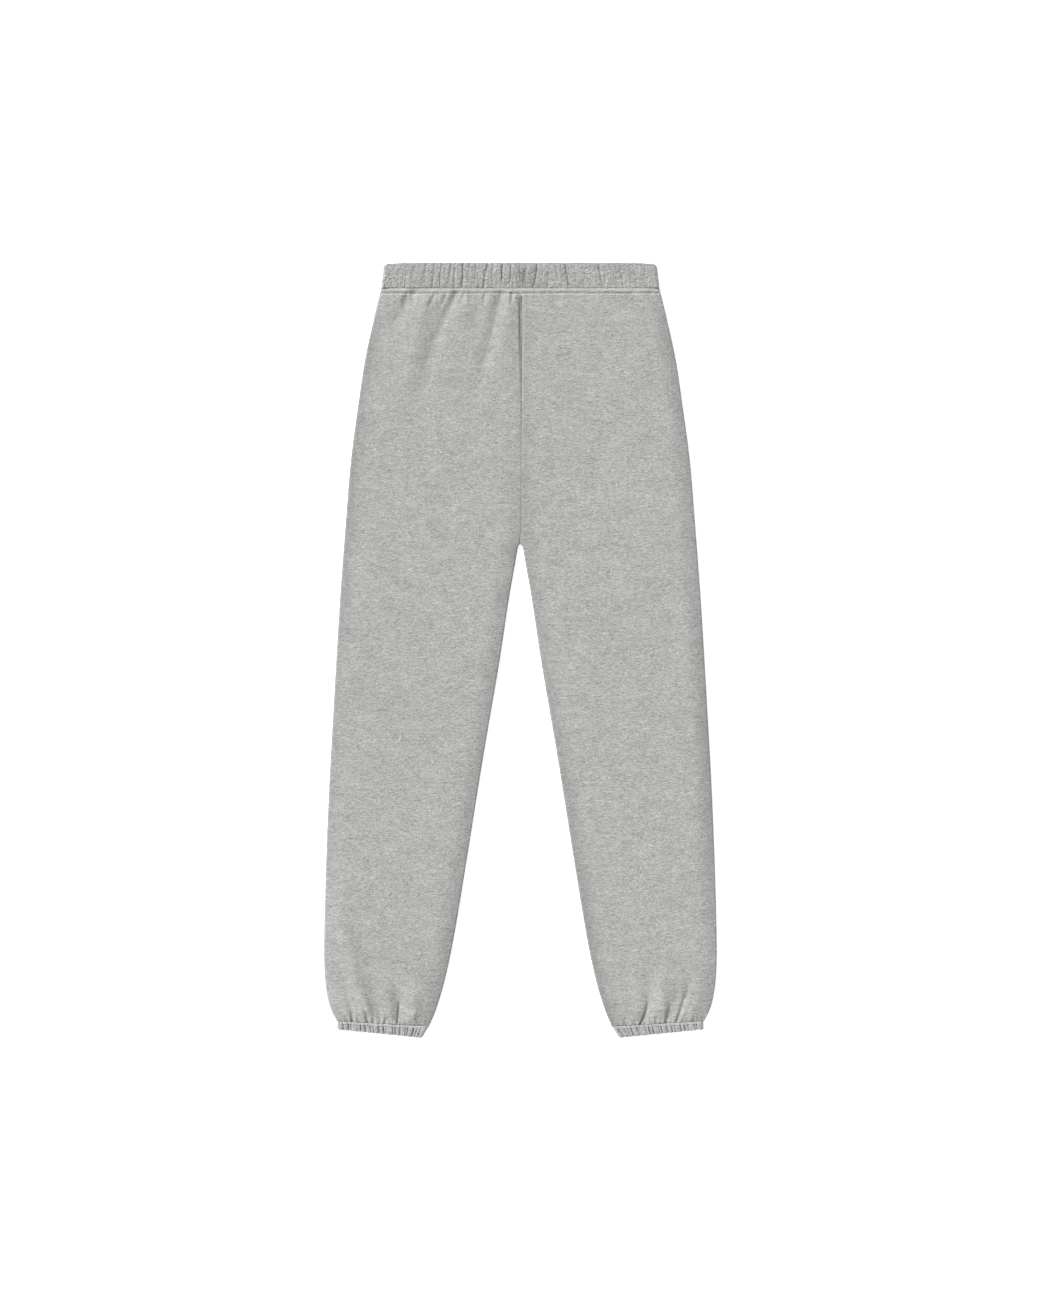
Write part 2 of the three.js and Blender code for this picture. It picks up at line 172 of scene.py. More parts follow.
def uneven(place, seed):
    """A wave from -1 to 1 that never repeats evenly, about 6 units from crest to crest."""
    first = np.sin(place + seed)
    second = 0.7 * np.sin(2.13 * place + 1.7 * seed)
    return (first + second + 0.45 * np.sin(3.71 * place + 2.9 * seed)) / 2.15


class LegRow:
    """The line across one leg at height y. It starts level and slants like the ankle seam as it nears it."""

    def __init__(self, y):
        seam_width = ANKLE_SEAM["outer_x"] - ANKLE_SEAM["inner_x"]
        self.slope = (ANKLE_SEAM["outer_y"] - ANKLE_SEAM["inner_y"]) / seam_width * smooth_step(-y, 380, 486)
        self.middle = (ANKLE_SEAM["outer_x"] + ANKLE_SEAM["inner_x"]) / 2
        half_rise = self.slope * seam_width / 2
        self.y = y
        self.outer = outseam_at(y + half_rise)
        self.inner = SEAM_GAP / 2 if y >= CROTCH_Y else inseam_at(y - half_rise)
        self.rolled = 1 - smooth_step(y, CROTCH_Y, CROTCH_Y + CROTCH_BLEND)

    def y_at(self, x):
        return self.y + self.slope * (x - self.middle)


def fold_depth(folds, x, y):
    """How far folds press the cloth in. Each is a soft trough along a path, deepest and narrowest at its
    start and gone at its end, with a low lip on both sides where the cloth has been pushed together."""
    depth = np.zeros_like(x)
    for fold in folds:
        path = np.array(fold.path, float)
        reach = 4 * fold.width
        if y.min() > path[:, 1].max() + reach or y.max() < path[:, 1].min() - reach:
            continue
        nearest = np.full_like(x, np.inf)
        along = np.zeros_like(x)
        for i, (start, end) in enumerate(zip(path, path[1:])):
            run = end - start
            t = np.clip(((x - start[0]) * run[0] + (y - start[1]) * run[1]) / (run @ run), 0, 1)
            off = np.hypot(x - start[0] - t * run[0], y - start[1] - t * run[1])
            along = np.where(off < nearest, (i + t) / (len(path) - 1), along)
            nearest = np.minimum(off, nearest)
        width = fold.width * (1 + 0.8 * along)
        shape = bell(nearest, width) - 0.25 * bell(nearest - 2.3 * width, 1.2 * width)
        depth += fold.depth * (1 - 0.75 * along) * smooth_step(1 - along, 0, 0.3) * shape
    return depth


def waist_seam_relief(below, x):
    """The strip under the waistband: a dip at the seam, a ridge, a groove and the start of the panel."""
    below = below - 0.4 * uneven(x / 17, 1.5) * smooth_step(below, 0, 3)
    groove = 1.2 * (1 + 0.25 * uneven(x / 2.3, 0.5)) * bell(below - 7.1, 1.1)
    return 0.2 * bell(below, 1.3) - 0.6 * bell(below - 4.0, 1.8) + groove


def back_relief(x, y, row):
    """How far folds, seams and the gathers that run on from the elastics press the laid back panel in."""
    below_waist = WAIST_SEAM_Y - y
    above_ankle = row.y - (ANKLE_SEAM["outer_y"] + ANKLE_SEAM["inner_y"]) / 2
    gathered = (1 - 0.65 * smooth_step(x, 20, 80)) * smooth_step(below_waist, 3, 8)
    gathered = gathered * np.exp(-below_waist / 13)
    waist_puckers = 0.9 * uneven(x / 1.7, 2.0) * gathered
    ankle_puckers = 0.7 * uneven(x / 1.1, 5.0) * math.exp(-above_ankle / 7)
    swells = 0.14 * uneven(x / 19 + y / 60, 1.0) * uneven(y / 50 - x / 90, 4.0)
    ankle_seam = 0.7 * math.exp(-above_ankle / 1.5) + 0.6 * math.exp(-((above_ankle / 7) ** 2))
    relief = fold_depth(BACK_FOLDS, x, y) + waist_puckers + ankle_puckers + swells + ankle_seam
    return relief + waist_seam_relief(below_waist, x)


TURN_STEPS = np.radians(np.linspace(0, 90, 11))
NEAR_SEAM = 7.0
SEAM_LEAN = 1.4
LOWEST_INSIDE = 3.75
LEAST_WALL = 0.7
HALF_COLUMN = 1.2


def panel_row(row, columns, side, is_back, inset, relief):
    """Points across a leg, from the outseam in, on the cloth's face (inset 0) or on its back (inset CLOTH).
    A back panel's folds end just above the front panel that lies under them. The cloth's back has fewer
    columns, so it is pressed as far as the deepest place on either side, and no narrow fold meets it."""
    radius = TURN_RADIUS if is_back else TURN_RADIUS - SEAM_GAP / 2
    seam_z = TURN_RADIUS + SEAM_GAP / 2 if is_back else radius
    up = 1 if is_back else -1
    height = height_at(row.y)
    rise = height - seam_z - radius if is_back else 0
    start = row.outer - radius
    end = row.inner + radius
    wide = np.linspace(start, end + NEAR_SEAM, columns, endpoint=False)[1:]
    middle = np.concatenate([wide, np.linspace(end + NEAR_SEAM, end, max(2, columns // 20), endpoint=False)])

    def dome(distance):
        return rise * np.clip(1 - distance / DOME_REACH, 0, 1) ** 2

    def seat(distance):
        slit = slit_at(row.y) * bell(distance - side * SEAM_LEAN, slit_width_at(row.y))
        valley = valley_at(row.y) * np.clip(1 - distance / VALLEY_REACH, 0, 1) ** 2
        return (slit + valley * VALLEY_SHARE[side]) * is_back

    flat_z = (height if is_back else 0) - up * inset
    outer_x = start + (radius - inset) * np.cos(TURN_STEPS)
    outer_z = seam_z + up * (radius - inset) * np.sin(TURN_STEPS)
    inner_steps = TURN_STEPS[::-1]
    level_x = end - radius * np.cos(inner_steps)
    level_z = flat_z - seat(level_x - row.inner)
    rolled_x = end - (radius - inset) * np.cos(inner_steps)
    rolled_z = seam_z + up * (radius - inset) * np.sin(inner_steps)
    inner_x = level_x + (rolled_x - level_x) * row.rolled
    inner_z = level_z + (rolled_z - level_z) * row.rolled
    seam_dip = (1 - row.rolled) * seat(middle - row.inner) + row.rolled * dome(middle - end)
    x = np.concatenate([outer_x, middle, inner_x])
    z = np.concatenate([outer_z, flat_z - dome(start - middle) - seam_dip, inner_z])
    held_inner = 1 - row.rolled * np.cos(inner_steps) ** 2
    held = np.concatenate([np.sin(TURN_STEPS) ** 2, np.ones_like(middle), held_inner])
    y = row.y_at(x)
    depth = relief(side * x, y, row)
    if inset:
        for step in (-HALF_COLUMN, HALF_COLUMN):
            depth = np.maximum(depth, relief(side * x + step, y, row))
    z = z - up * depth * held
    if is_back:
        upward = np.concatenate([np.sin(TURN_STEPS), np.ones_like(middle), np.sin(inner_steps)])
        turned = seam_z + (radius - inset) * upward
        lowest = LOWEST_INSIDE if inset else LOWEST_INSIDE + LEAST_WALL
        z = np.maximum(z, np.minimum(turned, lowest))
    return np.column_stack([side * x, y, z])


class Shell:
    """The points and faces of one closed wall, put together from strips between rows of points."""

    def __init__(self):
        self.points = []
        self.faces = []

    def row(self, points, closed=False):
        first = len(self.points)
        self.points.extend(points)
        row = list(range(first, first + len(points)))
        return row + [first] if closed else row

    def strip(self, a, b):
        """Fills between two rows. Open rows may differ in length: their points are joined where level."""
        if len(a) == len(b):
            self.faces.extend((a[i], b[i], b[i + 1], a[i + 1]) for i in range(len(a) - 1))
            return
        run = np.array(self.points[a[-1]]) - np.array(self.points[a[0]])
        on_a = np.array([self.points[index] for index in a]) @ run
        on_b = np.array([self.points[index] for index in b]) @ run
        i = 0
        j = 0
        while i < len(a) - 1 or j < len(b) - 1:
            along_a = j == len(b) - 1 or (i < len(a) - 1 and on_a[i] + on_a[i + 1] <= on_b[j] + on_b[j + 1])
            self.faces.append((a[i], b[j], a[i + 1] if along_a else b[j + 1]))
            i += along_a
            j += not along_a

    def strips(self, rows):
        for a, b in zip(rows, rows[1:]):
            self.strip(a, b)

    def piece(self, name, material, flip=False):
        mesh = bpy.data.meshes.new(name)
        faces = [face[::-1] for face in self.faces] if flip else self.faces
        mesh.from_pydata([tuple(float(v) * MM for v in point) for point in self.points], [], faces)
        mesh.materials.append(material)
        mesh.shade_smooth()
        made = bpy.data.objects.new(name, mesh)
        bpy.context.collection.objects.link(made)
        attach(made, "root")
        return made


class Socket:
    """A node's output, for use in sums."""

    def __init__(self, look, socket):
        self.look = look
        self.socket = socket

    def sum(self, operation, first, second):
        return self.look.node("ShaderNodeMath", {"operation": operation}, {0: first, 1: second})

    def __add__(self, other):
        return self.sum("ADD", self, other)

    def __sub__(self, other):
        return self.sum("SUBTRACT", self, other)

    def __rsub__(self, other):
        return self.sum("SUBTRACT", other, self)

    def __mul__(self, other):
        return self.sum("MULTIPLY", self, other)

    __radd__ = __add__
    __rmul__ = __mul__


class Look:
    """A material whose nodes are made one call at a time."""

    def __init__(self, name):
        self.material = bpy.data.materials.new(name)
        self.material.use_nodes = True
        self.nodes = self.material.node_tree.nodes
        self.links = self.material.node_tree.links
        self.shader = self.nodes["Principled BSDF"]

    def set(self, node, values):
        for name, value in values.items():
            if isinstance(value, Socket):
                self.links.new(value.socket, node.inputs[name])
            else:
                node.inputs[name].default_value = value

    def node(self, kind, settings, values, output=0):
        made = self.nodes.new(kind)
        for name, value in settings.items():
            setattr(made, name, value)
        self.set(made, values)
        return Socket(self, made.outputs[output])

    def place(self):
        return self.node("ShaderNodeTexCoord", {}, {}, "Object")

    def noise(self, stretch, detail, twist=0.0):
        """Noise from -0.5 to 0.5 with one cell to a stretch of (x, y, z) millimetres."""
        scale = [1000 / mm for mm in stretch]
        scaled = self.node("ShaderNodeMapping", {}, {"Vector": self.place(), "Scale": scale})
        values = {"Vector": scaled, "Scale": 1.0, "Detail": detail, "Roughness": 0.6, "Distortion": twist}
        return self.node("ShaderNodeTexNoise", {}, values) - 0.5

    def mix(self, share, first, second):
        values = {0: share, 6: first, 7: second}
        return self.node("ShaderNodeMix", {"data_type": "RGBA"}, values, 2)


def fleece(name, pale, dark, crinkle):
    """Brushed fleece in grey marl: charcoal fibres show as short wavy streaks along the knitted rows, under a
    raised pile. A share kept on the cloth's points paints shade into the colour, darkening it towards grey."""
    look = Look(name)
    streaks = look.noise((9, 2.2, 9), 3, 1.2)
    short_streaks = look.noise((3.6, 1.2, 3.6), 2, 0.8)
    fibres = look.noise((1.3, 0.6, 1.3), 2)
    patches = look.noise((24, 15, 24), 2)
    tone = streaks * 1.0 + short_streaks * 1.5 + fibres * 1.4 + patches * 0.35
    share = look.node("ShaderNodeClamp", {}, {0: 0.5 - tone})
    marl = look.mix(share, (*pale, 1), (*dark, 1))
    # Painted shade: the share kept on the points mixes the marl towards dark grey along the rolled edges and
    # at the centre back of the waistband, where shade falls.
    painted_shade = look.node("ShaderNodeAttribute", {"attribute_name": "painted_shade"}, {}, "Fac")
    colour = look.mix(painted_shade, marl, (0.12, 0.12, 0.118, 1))
    across = look.node("ShaderNodeSeparateXYZ", {}, {0: look.place()}, "X")
    along = look.node("ShaderNodeSeparateXYZ", {}, {0: look.place()}, "Y")
    column = look.node("ShaderNodeMath", {"operation": "PINGPONG"}, {0: across * 1000, 1: 0.45})
    row = look.node("ShaderNodeMath", {"operation": "PINGPONG"}, {0: along * 1000 + column * 0.8, 1: 0.4})
    creases = look.noise((3.4, 3.4, 3.4), 2, 0.8)
    height = column * 0.3 + row * 0.4 + streaks * 1.2 + short_streaks * 1.6 + fibres * 1.0 + creases * crinkle
    bump = look.node("ShaderNodeBump", {}, {"Height": height, "Strength": 0.9, "Distance": 0.0009})
    look.set(look.shader, {"Base Color": colour, "Normal": bump})
    look.set(look.shader, {"Roughness": 0.95, "Specular IOR Level": 0.2})
    look.set(look.shader, {"Sheen Weight": 0.12, "Sheen Roughness": 0.5})
    return look.material


MARL = fleece("marl", (0.625, 0.625, 0.613), (0.252, 0.252, 0.247), 0.3)


def stepped(*stretches):
    """Values from stretch to stretch, each (from, to, step)."""
    values = []
    for start, end, step in stretches:
        values.extend(np.linspace(start, end, max(1, round(abs(end - start) / step)), endpoint=False))
    return [*values, stretches[-1][1]]


PANEL_TOP_Y = WAIST_SEAM_Y - SEAM_GAP / 2
PANEL_FOOT_Y = (ANKLE_SEAM["outer_y"] + ANKLE_SEAM["inner_y"] + SEAM_GAP) / 2
FINE_ROWS = stepped(
    (PANEL_TOP_Y, 460, 0.5),
    (460, 400, 1.6),
    (400, 164, 5),
    (164, CROTCH_Y + 3, 2),
    (CROTCH_Y + 3, 130, 0.7),
    (130, 100, 3),
    (100, -390, 7),
    (-390, -445, 2),
    (-445, PANEL_FOOT_Y, 0.7),
)
INSIDE_ROWS = [*FINE_ROWS[:-1:2], PANEL_FOOT_Y]
INSIDE_COLUMNS = 110
# Painted shade along the rolled edges: how strongly each edge of each leg is darkened, by height, fading out
# over the reach in millimetres. It stands in for the shade where the cloth turns from the light or lies
# between the legs.
PAINTED_SHADE_REACH = 26
PAINTED_EDGE_SHADE = {
    "y": (-490, -330, -250, 0, 138, 300, 420, 470.5),
    "left_outer": (0.0, 0.0, 0.14, 0.2, 0.3, 0.36, 0.3, 0.0),
    "left_inner": (0.26, 0.24, 0.2, 0.16, 0.18, 0.0, 0.0, 0.0),
    "right_inner": (0.36, 0.42, 0.36, 0.26, 0.26, 0.14, 0.14, 0.0),
    "right_outer": (0.1, 0.14, 0.28, 0.26, 0.18, 0.2, 0.26, 0.0),
}


def panel(name, side, is_back, columns, rows, relief):
    """One panel's wall. Its colour is painted darker near the rolled edges, by a share of painted shade that
    is kept for its material.
    """
    shell = Shell()

    def face(ys, count, inset):
        return [shell.row(panel_row(LegRow(y), count, side, is_back, inset, relief)) for y in ys]

    outside = face(rows, columns, 0)
    inside = face(INSIDE_ROWS, INSIDE_COLUMNS, CLOTH)
    shell.strips(outside)
    shell.strips(inside[::-1])
    shell.strip(inside[0], outside[0])
    shell.strip(outside[-1], inside[-1])
    shell.strip([row[0] for row in outside], [row[0] for row in inside])
    shell.strip([row[-1] for row in inside], [row[-1] for row in outside])
    made = shell.piece(name + "_cloth", MARL, flip=(side > 0) == is_back)
    # Painted shade, kept on each point of the face and strongest at the rolled edges.
    painted_shade = made.data.attributes.new("painted_shade", "FLOAT", "POINT")
    leg = "right" if side > 0 else "left"
    outer_at = curve_of(PAINTED_EDGE_SHADE, leg + "_outer")
    inner_at = curve_of(PAINTED_EDGE_SHADE, leg + "_inner")
    for y, points in zip(rows, outside):
        row = LegRow(y)
        x = np.abs(np.array([shell.points[index][0] for index in points]))
        outer = outer_at(y) * (1 - smooth_step(row.outer - x, 0, PAINTED_SHADE_REACH))
        inner = inner_at(y) * (1 - smooth_step(x - row.inner, 0, PAINTED_SHADE_REACH))
        for index, share in zip(points, np.maximum(outer, inner)):
            painted_shade.data[index].value = share
    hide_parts(name)
    return made


BACK_COLUMNS = 215
back_left = panel("back_left", -1, True, BACK_COLUMNS, FINE_ROWS, back_relief)
back_right = panel("back_right", 1, True, BACK_COLUMNS, FINE_ROWS, back_relief)

# Two rows of twin-needle stitches in pale grey thread hold the waist seam flat on the back panels. Each
# stitch bows over the cloth and dives into it at both ends.
THREAD_RADIUS = 0.42
STITCH = 3.0
STITCH_BOW = 0.5
STITCH_SINK = 0.25
STITCH_SWAY = 0.15
WAIST_ROWS_BELOW = (2.8, 8.7)
CENTRE_MARGIN = 0.6
OUTSEAM_MARGIN = 2.5


def thread_material():
    look = Look("thread")
    twist = look.noise((0.5, 0.25, 0.5), 2) + 0.5
    colour = look.mix(twist, (0.62, 0.62, 0.605, 1), (0.84, 0.84, 0.82, 1))
    bump = look.node("ShaderNodeBump", {}, {"Height": twist, "Strength": 0.5, "Distance": 0.0002})
    look.set(look.shader, {"Base Color": colour, "Normal": bump, "Roughness": 0.6, "Sheen Weight": 0.2})
    return look.material


THREAD = thread_material()


def stitch_row(shell, start, end, height_of):
    """One row of stitches from start to end, as small bowed rods. height_of gives the cloth's height."""
    start = np.array(start, float)
    end = np.array(end, float)
    length = math.dist(start, end)
    ahead = (end - start) / length
    beside = np.array([-ahead[1], ahead[0]])
    count = int(length / STITCH)
    around = np.radians(np.arange(0, -360, -60))
    for stitch in range(count):
        rings = []
        for t in np.linspace(0, 1, 5):
            middle = start + ahead * (stitch + 0.1 + 0.8 * t) * length / count
            middle = middle + beside * STITCH_SWAY * math.sin(2.3 * stitch)
            radius = THREAD_RADIUS * (0.55 + 0.45 * math.sin(math.pi * t))
            z = height_of(*middle) + STITCH_BOW * math.sin(math.pi * t) - STITCH_SINK
            ring = [(*(middle + beside * radius * math.cos(a)), z + radius * math.sin(a)) for a in around]
            rings.append(shell.row(ring, closed=True))
        shell.strips(rings)
        shell.faces.append(tuple(rings[0][:-1]))
        shell.faces.append(tuple(rings[-1][-2::-1]))


waist_thread = Shell()
for below in WAIST_ROWS_BELOW:
    y = WAIST_SEAM_Y - below
    reach = outseam_at(y) - OUTSEAM_MARGIN
    for side in (-1, 1):
        face = panel_row(LegRow(y), BACK_COLUMNS, side, True, 0, back_relief)
        face = face[np.argsort(face[:, 0])]
        ends = sorted((side * CENTRE_MARGIN, side * reach))

        def face_height(x, y):
            return np.interp(x, face[:, 0], face[:, 2])

        stitch_row(waist_thread, (ends[0], y), (ends[1], y), face_height)
waist_stitches = waist_thread.piece("waist_stitches", THREAD)

# The two front panels are fleece too, and lie face down on the surface under the back panels. The photograph
# hides them, so they have the back panels' outline and a plain face, and show only at the rolled seams.
FRONT_FOLDS = [
    Fold(0.5, 6, ((-140, 464), (-148, 420))),
    Fold(0.6, 6, ((-60, 464), (-66, 425))),
    Fold(0.5, 6, ((52, 464), (58, 418))),
    Fold(0.6, 6, ((128, 464), (140, 430))),
    Fold(0.6, 4, ((-190, -484), (-194, -450))),
    Fold(0.5, 4, ((-150, -485), (-148, -458))),
    Fold(0.6, 4, ((160, -485), (164, -455))),
    Fold(0.5, 4, ((205, -483), (212, -460))),
]


def front_relief(x, y, row):
    return np.maximum(fold_depth(FRONT_FOLDS, x, y), 0) + 0.4 * bell(x, 1.2) * (row.y > CROTCH_Y)


ROUGH_ROWS = [*FINE_ROWS[:-1:3], PANEL_FOOT_Y]
FRONT_COLUMNS = 60
front_left = panel("front_left", -1, False, FRONT_COLUMNS, ROUGH_ROWS, front_relief)
front_right = panel("front_right", 1, False, FRONT_COLUMNS, ROUGH_ROWS, front_relief)

# The waistband is a strip of the same fleece folded over a wide elastic and sewn into a ring. The relaxed
# elastic gathers it into close upright ridges with sharp creases, which are deepest near the centre back.
WAISTBAND = {"wall": 4.9, "thick": 11.2, "seam_half": 181.0, "top_half": 177.0, "top_y": 504.0}
WAIST_HEIGHT = WAISTBAND["top_y"] - WAIST_SEAM_Y - SEAM_GAP / 2
BAND = fleece("band_marl", (0.665, 0.665, 0.646), (0.25, 0.25, 0.243), 6.0)
Gather = namedtuple("Gather", "seam_x top_x depth width low high")
WAIST_GATHERS = [
    Gather(-168, -167, 0.3, 3, 0, 1),
    Gather(-150.5, -149, 0.6, 3, 0, 0.4),
    Gather(-141, -140, 0.4, 3, 0.5, 1),
    Gather(-124.5, -124.5, 0.8, 3, 0.2, 1),
    Gather(-114, -113.5, 1.0, 3, 0, 1),
    Gather(-104.5, -104.5, 1.0, 3, 0, 1),
    Gather(-95, -90.5, 1.0, 3, 0.1, 1),
    Gather(-85, -87, 1.0, 2.5, 0, 0.5),
    Gather(-86, -87, 0.5, 2.5, 0.6, 1),
    Gather(-76, -75, 1.6, 3, 0, 1),
    Gather(-67.5, -67.5, 0.7, 3, 0.4, 1),
    Gather(-59.5, -58.5, 0.8, 3, 0.3, 1),
    Gather(-55, -54.5, 0.8, 2.5, 0, 0.5),
    Gather(-48, -43, 1.4, 3, 0, 1),
    Gather(-37, -35.5, 0.8, 4, 0, 1),
    Gather(-25, -23, 2.1, 2.5, 0.35, 1),
    Gather(-14, -11.5, 1.2, 3, 0.15, 1),
    Gather(-9, -11, 1.2, 2.5, 0, 0.35),
    Gather(-4, -3, 0.6, 2.5, 0, 0.5),
    Gather(0, 0, 1.1, 2.5, 0.35, 0.75),
    Gather(5, 7, 2.4, 7, 0, 0.55),
    Gather(7.5, 7.5, 0.6, 3, 0.2, 0.6),
    Gather(17.5, 23.5, 1.7, 3, 0, 1),
    Gather(29, 29, 0.8, 3, 0.55, 1),
    Gather(36, 36, 0.5, 3, 0, 0.6),
    Gather(48, 48, 0.4, 3, 0.3, 1),
    Gather(63, 60.3, 1.7, 3, 0.1, 1),
    Gather(73, 73, 0.4, 3, 0, 0.6),
    Gather(85, 85, 0.4, 3, 0.2, 1),
    Gather(92, 93, 0.3, 3, 0, 0.5),
    Gather(108, 103, 1.7, 3, 0.25, 1),
    Gather(111, 111, 0.6, 2, 0.2, 0.5),
    Gather(125.7, 125.7, 0.7, 3, 0, 0.4),
    Gather(134, 134, 0.5, 3, 0, 0.4),
    Gather(152, 151, 0.3, 3, 0, 0.7),
    Gather(166, 165, 0.3, 3, 0, 1),
]


def ring_row(ends, thick, places, inset):
    """Points of a flattened ring between its two ends. A place runs 0 to 1 over the top, to 2 round the far
    end, to 3 back along the underside and to 4 round the near end."""
    near = np.array(ends[0], float)
    far = np.array(ends[1], float)
    span = math.dist(near, far)
    radius = thick / 2
    turn = radius - inset
    quarter = np.floor(places)
    straight = (places - quarter) * (span - thick)
    angle = (places - quarter) * np.pi
    on = [quarter == 0, quarter == 1, quarter == 2]
    far_turn = span - radius + turn * np.sin(angle)
    near_turn = radius - turn * np.sin(angle)
    along = np.select(on, [radius + straight, far_turn, span - radius - straight], near_turn)
    level = [radius + turn, radius + turn * np.cos(angle), radius - turn]
    z = np.select(on, level, radius - turn * np.cos(angle))
    return np.column_stack([near + (far - near) * (along / span)[:, None], z])


def ring_places(straight_count, turn_count):
    counts = (straight_count, turn_count, straight_count, turn_count)
    return np.concatenate([quarter + np.arange(count) / count for quarter, count in enumerate(counts)])


FACE_PRESSED = 0.9
FOLD_PRESSED = 0.7
END_PRESS = 0.1


def casing(name, material, wall, thick, height, step, ends_at, press, places, draw):
    """A gathered ring with a plain back: up its face from the sewn edge, round the fold and down its back.
    press gives how far the gathers press it in, and draw how far that moves it along the garment."""
    shell = Shell()
    half = wall / 2
    section = [(up, 0.0) for up in np.arange(0, height - half, step)]
    for angle in np.radians(np.linspace(0, 180, 13)):
        section.append((height - half + half * math.sin(angle), half - half * math.cos(angle)))
    rows = []
    for up, inset in section:
        pressed = np.minimum(press(places, up), wall * (FOLD_PRESSED if inset else FACE_PRESSED))
        points = ring_row(ends_at(up), thick, places, inset + pressed * (1 - inset / wall))
        points[:, 1] += draw(points[:, 0], up, pressed)
        rows.append(shell.row(points, closed=True))
    rows.append(shell.row(ring_row(ends_at(0.0), thick, places, wall), closed=True))
    shell.strips([*rows, rows[0]])
    near, far = ends_at(0.0)
    rise = ends_at(height)[0][1] - near[1]
    return shell.piece(name + "_cloth", material, flip=(far[0] - near[0]) * rise > 0)


CORNER_RADIUS = 6
CORNER_SHARE = 0.6
WAIST_DEEPEST = 4.4


def waist_ends(up):
    past = max(0.0, up - WAIST_HEIGHT + CORNER_RADIUS)
    rounded = CORNER_SHARE * (CORNER_RADIUS - math.sqrt(CORNER_RADIUS**2 - min(past, CORNER_RADIUS) ** 2))
    half = WAISTBAND["seam_half"] + (WAISTBAND["top_half"] - WAISTBAND["seam_half"]) * up / WAIST_HEIGHT
    y = WAIST_SEAM_Y + SEAM_GAP / 2 + up
    return ((-half + rounded, y), (half - rounded, y))


def waist_press(places, up):
    share = up / WAIST_HEIGHT
    quarter = np.floor(places)
    part = places - quarter
    width = 2 * WAISTBAND["seam_half"] - WAISTBAND["thick"]
    x = np.where(quarter == 0, part - 0.5, 0.5 - part) * width
    pressed = 0.3 + 0.18 * uneven(x / 0.9 + 0.8 * share, 3.0) + 0.16 * uneven(share * 9 + x / 14, 2.0)
    pressed = pressed + 1.0 * share**3 + 1.6 * (1 - share) ** 2 * (0.7 + 1.0 * bell(x - 8, 40))
    for gather in WAIST_GATHERS:
        lean = (gather.top_x - gather.seam_x) * share
        middle = gather.seam_x + lean + 0.4 * math.sin(6 * share + gather.seam_x)
        reach = smooth_step(share, gather.low - 0.2, gather.low + 0.1) if gather.low else 1.0
        reach = reach * (1 - smooth_step(share, gather.high, gather.high + 0.25) if gather.high < 1 else 1.0)
        shape = 0.65 * bell(x - middle, gather.width * 0.3) + 0.35 * bell(x - middle, gather.width)
        pressed = pressed + 1.6 * gather.depth * shape * (0.2 + 0.8 * reach)
    return np.where(quarter % 2 == 0, np.clip(pressed, 0, WAIST_DEEPEST), END_PRESS)


def waist_draw(x, up, pressed):
    share = up / WAIST_HEIGHT
    return -(share**8) * (0.3 * pressed + 2.6 * np.abs(x / WAISTBAND["top_half"]) ** 10)


waistband = casing(
    "waistband",
    BAND,
    WAISTBAND["wall"],
    WAISTBAND["thick"],
    WAIST_HEIGHT,
    1.0,
    waist_ends,
    waist_press,
    ring_places(560, 12),
    waist_draw,
)
# At the centre back the elastic draws the cloth up so closely that it lies in shadow, painted into the colour
# as one soft dark patch of painted shade.
PAINTED_SHADE_PATCH = {"share": 0.3, "x": 8.0, "y": 482.0, "wide": 14.0, "high": 13.0}
band_points = np.array([vertex.co for vertex in waistband.data.vertices]) / MM
painted_shade_patch = bell(band_points[:, 0] - PAINTED_SHADE_PATCH["x"], PAINTED_SHADE_PATCH["wide"])
painted_shade_patch = painted_shade_patch * bell(band_points[:, 1] - PAINTED_SHADE_PATCH["y"], PAINTED_SHADE_PATCH["high"])
band_painted_shade = waistband.data.attributes.new("painted_shade", "FLOAT", "POINT")
band_painted_shade.data.foreach_set("value", (PAINTED_SHADE_PATCH["share"] * painted_shade_patch).astype(np.float32))
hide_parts("waistband")

# The ankle casings are narrow rings of the leg's own cloth over a thin elastic, drawn into fine upright
# gathers under twin rows of stitches. The hem slants, lower at the inseam, and is a little narrower than the
# seam above it.
ANKLE = {"wall": 4.0, "thick": 8.6, "gathers": 19, "depth": 2.7, "deepest": 3.2, "width": 118, "margin": 3.5}
HEM = {"outer_x": 238.4, "outer_y": -493.2, "inner_x": 127.9, "inner_y": -504.2}
ANKLE_HEIGHT = ANKLE_SEAM["inner_y"] - HEM["inner_y"]
ANKLE_ROWS_BELOW = (1.0, 3.0)


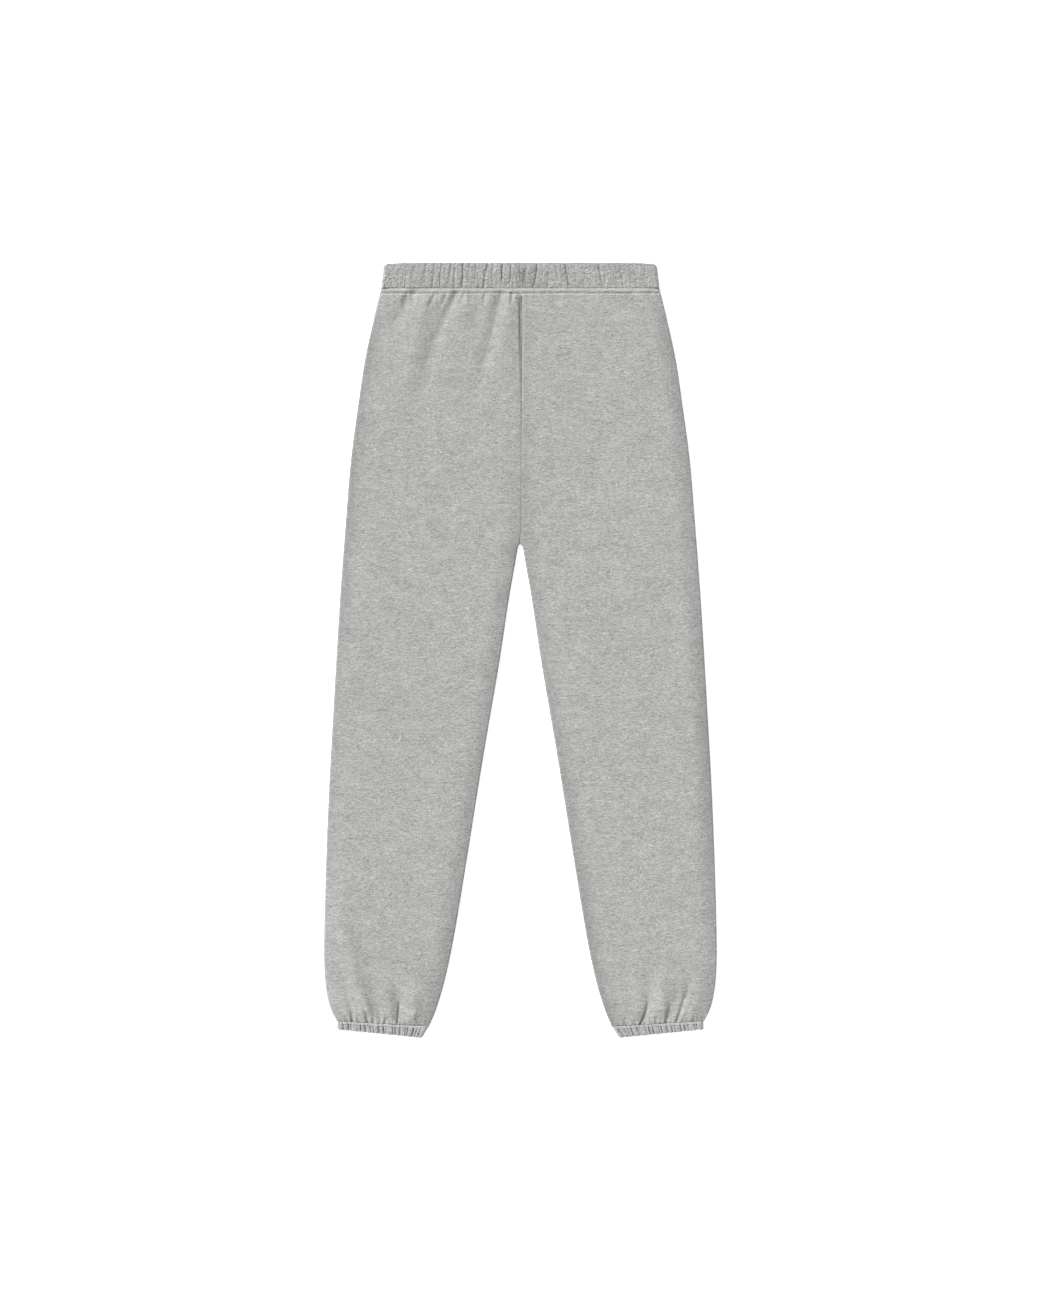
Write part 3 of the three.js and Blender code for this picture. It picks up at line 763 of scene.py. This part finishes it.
class AnkleCasing:
    """One casing. Heights up it run from the ankle seam (0) to the hem (ANKLE_HEIGHT)."""

    def __init__(self, name, side, seed):
        self.side = side
        self.seed = seed
        wall = ANKLE["wall"]
        places = ring_places(240, 10)
        flow = (self.ends_at, self.press, places, self.draw)
        self.cloth = casing(name, MARL, wall, ANKLE["thick"], ANKLE_HEIGHT, 0.6, *flow)
        thread = Shell()
        for up in ANKLE_ROWS_BELOW:
            ends = [np.array(end) for end in self.ends_at(up)]
            inward = (ends[1] - ends[0]) / math.dist(*ends) * ANKLE["margin"]
            stitch_row(thread, ends[0] + inward, ends[1] - inward, self.height_at(up))
        self.stitches = thread.piece(name + "_stitches", THREAD)
        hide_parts(name)

    def ends_at(self, up):
        t = up / ANKLE_HEIGHT

        def end(which):
            x = ANKLE_SEAM[which + "_x"] * (1 - t) + HEM[which + "_x"] * t
            y = (ANKLE_SEAM[which + "_y"] - SEAM_GAP / 2) * (1 - t) + HEM[which + "_y"] * t
            return (self.side * x, y)

        return (end("outer"), end("inner"))

    def press(self, places, up):
        share = up / ANKLE_HEIGHT
        quarter = np.floor(places)
        part = places - quarter
        part = np.where(quarter == 0, part, 1 - part)
        narrowing = (ANKLE_SEAM["outer_x"] - ANKLE_SEAM["inner_x"]) / (HEM["outer_x"] - HEM["inner_x"]) - 1
        part = part - (narrowing * part * (1 - part**4) - 0.02 * self.side * share) * share
        gathers = 0.12 * (1 + uneven(part * 120, self.seed))
        for i in range(ANKLE["gathers"]):
            place = (i + 0.6 + 0.25 * math.sin(2.4 * i + self.seed)) / (ANKLE["gathers"] + 0.2)
            off = (part - place - 0.006 * math.sin(2.9 * i + self.seed) * share) * ANKLE["width"]
            deep = ANKLE["depth"] * (1 + 0.45 * math.sin(1.7 * i + self.seed))
            gathers = gathers + deep * (0.65 * bell(off, 0.7) + 0.35 * bell(off, 1.8))
        gathers = np.minimum(gathers, ANKLE["deepest"]) * (0.35 + 0.65 * smooth_step(up, 2.8, 5.0))
        seam = 0.5 * bell(up, 0.6) - 0.1 * bell(up - 1.8, 1.2) + 0.8 * bell(up - 4.2, 0.7)
        return np.where(quarter % 2 == 0, np.maximum(gathers + seam, 0), END_PRESS)

    def draw(self, x, up, pressed):
        return 0.3 * pressed * (up / ANKLE_HEIGHT) ** 4

    def height_at(self, up):
        near, far = (end[0] for end in self.ends_at(up))
        half = ANKLE["thick"] / 2 * math.copysign(1, far - near)

        def height_of(x, y):
            place = np.clip((x - near - half) / (far - near - 2 * half), 0, 0.999)
            return ANKLE["thick"] - float(self.press(np.array([place]), up)[0])

        return height_of


ankle_left = AnkleCasing("ankle_left", -1, 0.0)
ankle_right = AnkleCasing("ankle_right", 1, 2.0)

# The floor is plain and white, and glows a little, so that the garment's thin shadow hardly shows. The light
# is soft and even from all round, with a far soft lamp above and to the upper left.
FLOOR_DROP = 0.0003
REACH = 60.0
CORNERS = [(-REACH, -REACH, 0), (REACH, -REACH, 0), (REACH, REACH, 0), (-REACH, REACH, 0)]
floor_mesh = bpy.data.meshes.new("floor")
floor_mesh.from_pydata(CORNERS, [], [(0, 1, 2, 3)])
floor = bpy.data.objects.new("floor", floor_mesh)
floor.location = (0, 0, -FLOOR_DROP)
bpy.context.collection.objects.link(floor)
white = Look("white_floor")
grain = white.noise((3, 3, 3), 3) + 0.5
white.set(white.shader, {"Base Color": white.mix(grain, (0.93, 0.93, 0.93, 1), (0.95, 0.95, 0.95, 1))})
white.set(white.shader, {"Roughness": 0.9, "Emission Color": (1, 1, 1, 1), "Emission Strength": 0.6})
floor_mesh.materials.append(white.material)

lamp = bpy.data.objects.new("lamp", bpy.data.lights.new("lamp", "SUN"))
lamp.data.energy = 3.6
lamp.data.angle = math.radians(20)
lamp.location = (-2.6, 1.9, 3.2)
lamp.rotation_euler = lamp.location.to_track_quat("Z", "Y").to_euler()
bpy.context.collection.objects.link(lamp)

world = bpy.data.worlds.new("studio")
world.use_nodes = True
world.node_tree.nodes["Background"].inputs["Color"].default_value = (1, 1, 1, 1)
world.node_tree.nodes["Background"].inputs["Strength"].default_value = 0.5
bpy.context.scene.world = world
bpy.context.scene.view_settings.view_transform = "Standard"
bpy.context.scene.view_settings.look = "None"
